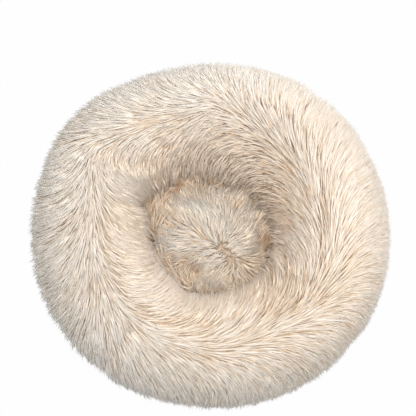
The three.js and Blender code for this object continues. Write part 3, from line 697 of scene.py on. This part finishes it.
for side, start in zip(panelNames, panelStarts):
    rows = (coverAngles >= start) & (coverAngles <= start + 90)
    angles = coverAngles[rows].copy()
    angles[0] += cover["seamGap"]
    angles[-1] -= cover["seamGap"]
    turns = np.linspace(ring["outerSeam"], ring["innerSeam"], 40)
    topDepth = np.clip(cover["fuzzDepth"] - fullness(angles[:, None], turns), *cover["backingReach"])
    outer = coverPoints(angles[:, None], turns, topDepth)
    backDepth = np.maximum(cover["backDepth"], topDepth + cover["backingThickness"])
    inner = coverPoints(angles[:, None], turns, backDepth)
    cushion(shellBetween("panel_" + side, outer, inner), "ringFuzz", "ring_fur", "ring_panel_" + side)
    for k, (band, (low, high)) in enumerate(pileBands.items()):
        fur = growOn(f"pile_{side}_{band}", ringSkin, pile, {
            "From angle": float(start), "To angle": float(start + 90), "From turn": low, "To turn": high,
            "Seed": 100 * start + 7 * k + 5000, "Material": ringPile})
        declare(fur, "ring_fur")
        print(fur.name, len(fur.data.polygons), "faces")
bpy.data.objects.remove(ringSkin)

# The pad in the nest. Its pile is laid outwards from a short parting, and stands up in tousled patches
pad = {
    "top": 66 * mm, "crown": 12 * mm, "power": 2.4, "radius": 110 * mm, "rootDepth": 12 * mm,
    "fuzzDepth": 7 * mm, "backDepth": 15.5 * mm, "shellRadius": 104 * mm, "sownRadius": 122 * mm,
    "parting": ((15, -24), (31, -41)), "swirlWidth": 16,
    "patches": ((-102, 52, 20), (-3, 66, 20), (-82, 0, 22), (-58, -54, 24), (-46, 95, 18), (83, -27, 18),
                (6, -80, 16), (-39, -84, 18), (-16, -44, 16)),  # x, y and width
    "curl": 26, "curlSize": 55 * mm, "patchCurl": 70, "patchSize": 60 * mm,
    "shortAtParting": 0.5, "calm": 0.45, "calmWidth": 45, "stiff": 0.4, "stray": 0.35,
    # tan patches; lighter at the parting, painted sheen of the locks that lie flat there; painted shadow by the rim
    # on the right and behind, under the ring's overhang; painted light by the rim on the left and in front
    "tone": 0.95, "patchTone": 0.8, "partingPaintedSheen": 0.4,
    "shade": 1.0, "shadedRim": (55, 60), "shadeRise": (88 * mm, 18 * mm),  # where: angle and width, radius and reach
    "light": 0.3, "paintedLightRim": (225, 70), "paintedLightRise": (60 * mm, 30 * mm),
    "rimRise": (75 * mm, 30 * mm), "frontLoft": 1.2, "front": (220, 85), "backLoft": 1.1, "back": (105, 75),
    "patchLoft": 0.2, "partingLoft": 0.6, "warmFrom": 22 * mm, "warmOver": 65 * mm,
    "seamTurns": (197, 204.5), "seamDepth": 0.8 * mm, "seamThickness": 1.6 * mm,
}
padMiddle = np.array([cosine(ring["nestShiftAngle"]), sine(ring["nestShiftAngle"])]) * ring["nestShift"]
padPlace = np.append(padMiddle, 0)


def padHeight(radius):
    return pad["top"] - pad["crown"] * (radius / pad["radius"]) ** pad["power"]


def spin(section, angles):  # a section of (radius, height) rows, spun round the pad's own middle
    radius, height = np.asarray(section, float).T
    angle = np.asarray(angles, float)[:, None]
    return np.stack(np.broadcast_arrays(radius * cosine(angle), radius * sine(angle), height), -1) + padPlace


def waves(points, length, seed, count=7):  # a gentle random field between about -1 and 1
    draws = np.random.default_rng(seed)
    total = 0
    for way in unit(draws.normal(size=(count, 3))):
        turns = points @ way * 2 * math.pi / (length * draws.uniform(0.6, 1.6))
        total = total + np.sin(turns + draws.uniform(0, 6.3))
    return total / math.sqrt(count)


padRadii = np.linspace(1.5 * mm, pad["sownRadius"], 40)
padLie = spin(np.stack([padRadii, padHeight(padRadii) - pad["rootDepth"]], 1), np.arange(0, 360.1, 5))
padSkin = meshObject("padSkin", padLie, [face[::-1] for face in gridFaces(*padLie.shape[:2])])
partStart, partWay = np.array(pad["parting"][0]), np.subtract(pad["parting"][1], pad["parting"][0])
fromStart = padLie[..., :2] / mm - partStart
fromParting = fromStart - np.clip(fromStart @ partWay / (partWay @ partWay), 0, 1)[..., None] * partWay
partingReach = np.linalg.norm(fromParting, axis=-1)
fan = unit(fromParting)
unrest = np.zeros(partingReach.shape)
for x, y, width in pad["patches"]:
    unrest = np.maximum(unrest, hump(np.hypot(padLie[..., 0] / mm - x, padLie[..., 1] / mm - y), width))
swirl = hump(partingReach, pad["swirlWidth"])
curl = pad["curl"] * waves(padLie, pad["curlSize"], 5)
curl = curl + pad["patchCurl"] * unrest * np.sign(waves(padLie, pad["patchSize"], 9))
fan = np.stack([fan[..., 0] * cosine(curl) - fan[..., 1] * sine(curl),
                fan[..., 0] * sine(curl) + fan[..., 1] * cosine(curl), np.zeros(curl.shape)], -1)
padAround = np.degrees(np.arctan2(padLie[..., 1], padLie[..., 0]))
# painted shadow and painted light by the pad's rim
shadedRim = bell(padAround, *pad["shadedRim"]) * rising(padRadii, *pad["shadeRise"])
paintedLightRim = bell(padAround, *pad["paintedLightRim"]) * rising(padRadii, *pad["paintedLightRise"])
rimLoft = pad["frontLoft"] * bell(padAround, *pad["front"]) + pad["backLoft"] * bell(padAround, *pad["back"])
rimShare = rising(padRadii, *pad["rimRise"])
setAttributes(
    padSkin, comb=fan, outward=np.broadcast_to((0.0, 0.0, 1.0), padLie.shape), around=np.ones(curl.shape),
    across=np.broadcast_to(padRadii / mm, curl.shape), lengthShare=1 - pad["shortAtParting"] * swirl,
    contrast=1 - pad["calm"] * hump(partingReach, pad["calmWidth"]), dense=np.ones(curl.shape),
    stiff=np.full(curl.shape, pad["stiff"]), unrest=np.maximum(unrest, pad["stray"] * swirl),
    # painted warm shade, growing towards the pad's rim
    warmth=np.clip((padRadii - pad["warmFrom"]) / pad["warmOver"], 0, 1) * np.ones(curl.shape),
    # tan patches, painted sheen at the parting, painted shadow under the ring's overhang and painted light on the
    # front left rim
    tone=(pad["tone"] - pad["patchTone"] * unrest - pad["shade"] * shadedRim + pad["partingPaintedSheen"] * swirl
          + pad["light"] * paintedLightRim),
    loft=rimShare * rimLoft - pad["patchLoft"] * unrest + pad["partingLoft"] * swirl)

seamTurns = np.array(pad["seamTurns"])
padRows = np.arange(0, 360, 4.0)
padSeam = ringPoints(padRows[:, None], seamTurns, cover["fuzzDepth"] - pad["seamDepth"])
crownRadii = np.linspace(0, pad["shellRadius"], 16)
rimAngles = np.degrees(np.arctan2(padSeam[:, 0, 1] - padMiddle[1], padSeam[:, 0, 0] - padMiddle[0]))
padShell = []
for depth, lower in ((pad["fuzzDepth"], 0), (pad["backDepth"], pad["seamThickness"])):
    crown = spin(np.stack([crownRadii, padHeight(crownRadii) - depth], 1), rimAngles)
    padShell.append(np.concatenate([crown, padSeam - np.array([0, 0, lower])], 1))
cushion(shellBetween("pad_top", *padShell, True), "padFuzz", "pad_fur", "pad_cover")
padFur = growOn("pile_pad", padSkin, pile, {
    "Locks per square metre": 175000.0, "From angle": 0.0, "To angle": 2.0, "From turn": 0.0, "To turn": 118.0,
    "Length": 0.044, "Length spread": 0.25, "Width": 0.0015, "Stand": 0.014, "Stand spread": 0.006,
    "Stray degrees": 10.0, "Tuft degrees": 14.0, "Tuft size": 0.03, "Bow": 0.004, "Tone spread": 0.8,
    "Depth tone": 0.5, "Patch size": 0.05, "Clump size": 0.008, "Clump lift": 0.8, "Seed": 77,
    "Material": padPile})
declare(padFur, "pad_fur")
print(padFur.name, len(padFur.data.polygons), "faces")
bpy.data.objects.remove(padSkin)

# The base cloth, flat on the floor and up under the ring to the seam, open behind for the zip
base = {
    "rowStep": 2, "thickness": 0.6 * mm, "middleDepth": 19.4 * mm, "edgeTurn": -28.6, "notchTurn": -50,
    "notchFrom": 58, "notchTo": 132, "wrinkle": 0.2 * mm, "gather": 0.5 * mm, "gathers": 90,
    "cutRadius": 0.3, "cutArea": 0.283, "flatColumns": 21, "bendColumns": 8, "gatherRadius": 0.25,
    "rumpleSize": 90 * mm, "flatWithin": 20 * mm, "edgeReach": 20, "edgeGather": 0.5, "bendGather": 0.15,
    "stitchTurn": -31.5, "stitchDepth": 18.9 * mm, "stitchGap": 3, "threadEnd": 0.55, "threadSwell": 1.8,
}
baseRows = np.arange(0, 360, base["rowStep"])
bendTurns = np.linspace(-90, base["notchTurn"], base["bendColumns"] + 1)
baseTurns = np.concatenate([bendTurns, np.linspace(base["notchTurn"], base["edgeTurn"], 6)[1:]])
under = ringPoints(0, baseTurns, base["middleDepth"])
flatRadii = np.linspace(0, under[0, 0], base["flatColumns"] + 1)[:-1]
section = np.stack([np.append(flatRadii, under[:, 0]),
                    np.append(np.full(flatRadii.shape, under[0, 2]), under[:, 2])], 1)
basePoints = spin(section, baseRows) - padPlace
flatness = np.append(np.ones(flatRadii.shape), smooth(np.linspace(1, 0, len(baseTurns))))
sectionTurns = np.append(np.full(flatRadii.shape, -90.0), baseTurns)
edgeShare = (1 - flatness) * smooth((base["edgeTurn"] - sectionTurns) / base["edgeReach"] + 1)
rumple = waves(basePoints, base["rumpleSize"], 3) * 0.5 + 0.5
basePoints[..., 2] += base["wrinkle"] * rumple * np.minimum(1, section[:, 0] / base["flatWithin"])
gathers = edgeShare * base["edgeGather"] + base["bendGather"] * (1 - flatness)
ripple = base["gather"] * sine(base["gathers"] * baseRows)[:, None] * gathers
basePoints[..., :2] *= (1 + ripple / base["gatherRadius"])[..., None]
columns = len(section)
opened = [
    face for face in gridFaces(*basePoints.shape[:2], True)
    if not (base["notchFrom"] <= baseRows[face[0] // columns] < base["notchTo"]
            and face[0] % columns >= base["flatColumns"] + base["bendColumns"])
]
baseSheet = tidyMesh(meshObject("base_sheet", basePoints, opened))
if baseSheet.data.polygons[0].normal.z > 0:
    baseSheet.data.flip_normals()
thickener = baseSheet.modifiers.new("thickener", "SOLIDIFY")
thickener.thickness, thickener.offset = base["thickness"], 0
settle(baseSheet)
giveMaterial(baseSheet, stuff["oxfordCloth"])
declare(baseSheet, "oxford_cloth", "base_cloth")
print("base cloth made")


# Geometry Nodes: grip dots in a hexagonal pattern on the underside
def dotTree():
    graph, given = newTree("gripDots", {
        "Pitch": 0.014, "Row share": 0.866, "Radius": 0.0016, "Height": 0.0008, "Reach": 0.236, "Across": 40,
        "Material": None})
    across, pitch = given.out("Across"), given.out("Pitch")
    grid = graph.add("GeometryNodeMeshGrid", {}, {
        "Size X": pitch * given.out("Row share") * (across - 1), "Size Y": pitch * (across - 1),
        "Vertices X": across, "Vertices Y": across})
    row = graph.math("FLOOR", graph.add("GeometryNodeInputIndex") / across)
    shift = graph.combined(Y=graph.math("MODULO", row, 2.0) * pitch * 0.5)
    grid = graph.add("GeometryNodeSetPosition", {}, {"Geometry": grid, "Offset": shift})
    place = graph.add("GeometryNodeInputPosition")
    near = graph.add("GeometryNodeProximity", {"target_element": "FACES"}, {
        "Target": given.out("Geometry"), "Source Position": place})
    grid = graph.add("GeometryNodeSetPosition", {}, {"Geometry": grid, "Position": near})
    kept = graph.vector("LENGTH", place).out("Value") < given.out("Reach")
    dot = graph.add("GeometryNodeMeshUVSphere", {}, {"Segments": 6, "Rings": 4, "Radius": 1.0})
    size = graph.combined(X=given.out("Radius"), Y=given.out("Radius"), Z=given.out("Height"))
    return endTree(graph, given, graph.scattered(grid, dot, Selection=kept, Scale=size))


gripDots = growOn("grip_dots", baseSheet, dotTree(), {"Material": stuff["gripDot"]})
for vertex in gripDots.data.vertices:
    vertex.co.z = max(vertex.co.z, 0)
declare(gripDots, "oxford_cloth")


# Geometry Nodes: stitches along a path
def stitchTree():
    graph, given = newTree("stitches", {"Pitch": 0.004, "Stitch length": 0.003, "Thread": 0.00045, "Material": None})
    path = graph.add("GeometryNodeMeshToCurve", {}, {"Mesh": given.out("Geometry")})
    spaced = graph.add("GeometryNodeCurveToPoints", {"mode": "LENGTH"}, {"Curve": path, "Length": given.out("Pitch")})
    half = given.out("Stitch length") * 0.5
    line = graph.add("GeometryNodeCurvePrimitiveLine", {}, {
        "Start": graph.combined(Z=half * -1), "End": graph.combined(Z=half)})
    bent = graph.add("GeometryNodeResampleCurve", {}, {"Curve": line, "Count": 4})
    t = graph.add("GeometryNodeSplineParameter")
    girth = base["threadEnd"] + t * (1 - t) * base["threadSwell"]
    circle = graph.add("GeometryNodeCurvePrimitiveCircle", {}, {"Resolution": 5, "Radius": given.out("Thread")})
    thread = graph.add("GeometryNodeCurveToMesh", {}, {
        "Curve": bent, "Profile Curve": circle, "Scale": girth, "Fill Caps": True})
    turned = graph.add("FunctionNodeAlignRotationToVector", {"axis": "Z"}, {"Vector": spaced.out("Tangent")})
    return endTree(graph, given, graph.scattered(spaced, thread, Rotation=turned))


wholeTurn = np.arange(0, 360, 3.0)
seamSection = ringPoints(0, np.array([base["stitchTurn"]]), base["stitchDepth"])[:, [0, 2]]
seamEdges = [(k, (k + 1) % len(wholeTurn)) for k, angle in enumerate(wholeTurn)
             if not base["notchFrom"] - base["stitchGap"] <= angle <= base["notchTo"]]
seamPath = meshObject("seamPath", spin(seamSection, wholeTurn) - padPlace, [], seamEdges)
stitches = growOn("base_stitches", seamPath, stitchTree(), {"Material": stuff["seamThread"]})
declare(stitches, "oxford_cloth")
bpy.data.objects.remove(seamPath)
print("dots", len(gripDots.data.polygons), "stitches", len(stitches.data.polygons))

# The inserts: bags of cloth stuffed with fibre
insert = {
    "linerDepth": 22.2 * mm, "linerThickness": 1 * mm, "gap": 0.3 * mm, "floor": 1.5 * mm,
    "padRadius": 100 * mm, "padBulge": 18 * mm, "padDepth": 16.3 * mm,
    "crease": 0.35 * mm, "creaseSize": 45 * mm, "lump": 1.6 * mm, "lumpSize": 30 * mm, "seamAllowance": 10 * mm,
}


def ringInsert(turns, inset):
    return ringPoints(wholeTurn[:, None], turns, insert["linerDepth"] + inset, insert["floor"] + inset)


def padInsertSection(inset, fromTurn, toTurn, crown=False):
    top = padHeight(insert["padRadius"]) - insert["padDepth"] - inset
    low = insert["floor"] + inset
    turns = np.linspace(fromTurn, toTurn, 14)
    side = np.stack([insert["padRadius"] + (insert["padBulge"] - inset) * cosine(turns),
                     (top + low) / 2 + (top - low) / 2 * sine(turns)], 1)
    if crown:
        radii = np.linspace(0, insert["padRadius"], 14)[:-1]
        side = np.concatenate([np.stack([radii, padHeight(radii) - insert["padDepth"] - inset], 1), side])
    if toTurn == -90:
        radii = np.linspace(insert["padRadius"], 0, 12)[1:]
        side = np.concatenate([side, np.stack([radii, np.full(radii.shape, low)], 1)])
    return side


def creased(points, height, length, seed, outer=1):  # moves points in by a little, along the surface's own way out
    out = gridWays(points)[2] * outer
    return points - out * (waves(points, length, seed) * 0.5 + 0.5)[..., None] * height


def bag(name, half, layer, *crease):
    shell = [creased(layer(inset), insert["crease"], insert["creaseSize"], *crease)
             for inset in (0, insert["linerThickness"])]
    liner = giveMaterial(shellBetween(f"{name}_bag_{half}", *shell, True), stuff["linerCloth"])
    return declare(liner, "liner_cloth", f"{name}_liner_{half}")


halves = {"top": np.linspace(0.25, 179.75, 40), "bottom": np.linspace(180.25, 359.75, 40)}
for half, turns in halves.items():
    liner = bag("ring", half, lambda inset: ringInsert(turns, inset), 20)

fillTurns = np.arange(0, 360, 6.0)
fillInset = insert["linerThickness"] + insert["gap"]
fillPoints = creased(ringInsert(fillTurns, fillInset), insert["lump"], insert["lumpSize"], 30)
ringFill = tidyMesh(meshObject("ring_stuffing", fillPoints, gridFaces(*fillPoints.shape[:2], True, True)))
cushion(ringFill, "fibreFill", "fibre_fill", "ring_fill")

padHalves = {"top": (90, 0.5, True), "bottom": (-0.5, -90, False)}
for half, turns in padHalves.items():
    liner = bag("pad", half, lambda inset: spin(padInsertSection(inset, *turns), wholeTurn), 40, -1)

padFillPoints = creased(spin(padInsertSection(fillInset, 90, -90, True), wholeTurn),
                        insert["lump"], insert["lumpSize"], 50, -1)
padFill = meshObject("pad_stuffing", padFillPoints, gridFaces(*padFillPoints.shape[:2], True))
cushion(tidyMesh(padFill, 0.05 * mm), "fibreFill", "fibre_fill", "pad_fill")
print("inserts made")


# The zip: its tapes in woven cloth, its hard parts as they are
zipLook = {"tapeLength": 0.33, "merge": 0.005 * mm,
           "hardParts": {"zip_teeth": "zipResin", "zip_top": "zipResin", "zip_bottom": "zipResin",
                         "zip_slider": "zipMetal", "zip_pull": "zipMetal"}}


def softened(node, name, material, levels=1):
    piece = newObject(name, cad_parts[node].data.copy())
    tidyMesh(piece, zipLook["merge"])
    rounder = piece.modifiers.new("rounder", "SUBSURF")
    rounder.subdivision_type = "SIMPLE"
    rounder.levels = rounder.render_levels = levels
    return giveMaterial(settle(piece), material)


for side in ("outer", "inner"):
    tape = softened("zip_tape_" + side, "tape_" + side, stuff["tapeCloth"])
    declare(tape, "zip_tape", "zip_tape_" + side)
for start, finish in zipLook["hardParts"].items():
    for node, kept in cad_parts.items():
        if node.startswith(start):
            for place in kept.material_slots:
                place.material = stuff[finish]
print("zip finished")


# The stage, the light and the camera
def clearView(graph):  # 1 for the camera's rays and for those that only pass or mirror
    path = graph.add("ShaderNodeLightPath")
    clear = graph.math("MAXIMUM", path.out("Is Glossy Ray"), path.out("Is Transmission Ray"))
    return graph.math("MAXIMUM", path.out("Is Camera Ray"), clear)


def backdropShader(graph):
    seen = clearView(graph) * stage["whiteness"]
    shade = stage["floorShade"]
    lit = graph.add("ShaderNodeBsdfDiffuse", {}, {"Color": (shade, shade, shade, 1)})
    white = graph.add("ShaderNodeEmission", {}, {"Color": (1, 1, 1, 1)})
    return graph.add("ShaderNodeMixShader", {}, {"Fac": seen, "Shader": lit, "Shader_001": white})


stage = {"whiteness": 0.985, "floorShade": 0.3, "reach": 4, "skyLight": 0.97}
edge = stage["reach"]
corners = [(-edge, -edge, 0), (edge, -edge, 0), (edge, edge, 0), (-edge, edge, 0)]
floor = meshObject("floor", corners, [(0, 1, 2, 3)])
giveMaterial(floor, newMaterial("backdrop", backdropShader))

lamps = {
    "top": {"place": (-0.1, -0.1, 2.3), "size": 1.4, "power": 23},
    "right": {"place": (2.4, -0.2, 0.7), "size": 1.3, "power": 19},
    "back": {"place": (1.2, 2.2, 0.7), "size": 1.2, "power": 23},
}
for name, lamp in lamps.items():
    light = bpy.data.lights.new(name, "AREA")
    light.size, light.energy = lamp["size"], lamp["power"]
    holder = newObject(name, light)
    holder.location = lamp["place"]
    holder.rotation_euler = Vector(lamp["place"]).to_track_quat("Z", "Y").to_euler()

world = bpy.data.worlds.new("studio")
bpy.context.scene.world = world
world.use_nodes = True
world.node_tree.nodes.clear()
sky = Graph(world.node_tree)
skyMix = sky.add("ShaderNodeMixShader", {}, {
    "Fac": clearView(sky),
    "Shader": sky.add("ShaderNodeBackground", {}, {"Color": (1, 1, 1, 1), "Strength": stage["skyLight"]}),
    "Shader_001": sky.add("ShaderNodeBackground", {}, {"Color": (1, 1, 1, 1), "Strength": 1.0})})
sky.add("ShaderNodeOutputWorld", {}, {"Surface": skyMix})

view = {"elevation": 76, "distance": 2.2, "metresAcross": 0.697, "middle": (0, 0, 62 * mm),
        "right": -6.3 * mm, "up": 42.3 * mm}
back = Vector((0, -cosine(view["elevation"]), sine(view["elevation"])))
upWay = Vector((0, sine(view["elevation"]), cosine(view["elevation"])))
target = Vector(view["middle"]) + Vector((view["right"], 0, 0)) + upWay * view["up"]
camera = bpy.data.cameras.new("camera")
camera.lens = camera.sensor_width * view["distance"] / view["metresAcross"]
cameraHolder = newObject("camera", camera)
cameraHolder.location = target + back * view["distance"]
cameraHolder.rotation_euler = back.to_track_quat("Z", "Y").to_euler()
bpy.context.scene.camera = cameraHolder
bpy.context.scene.view_settings.view_transform = "Standard"
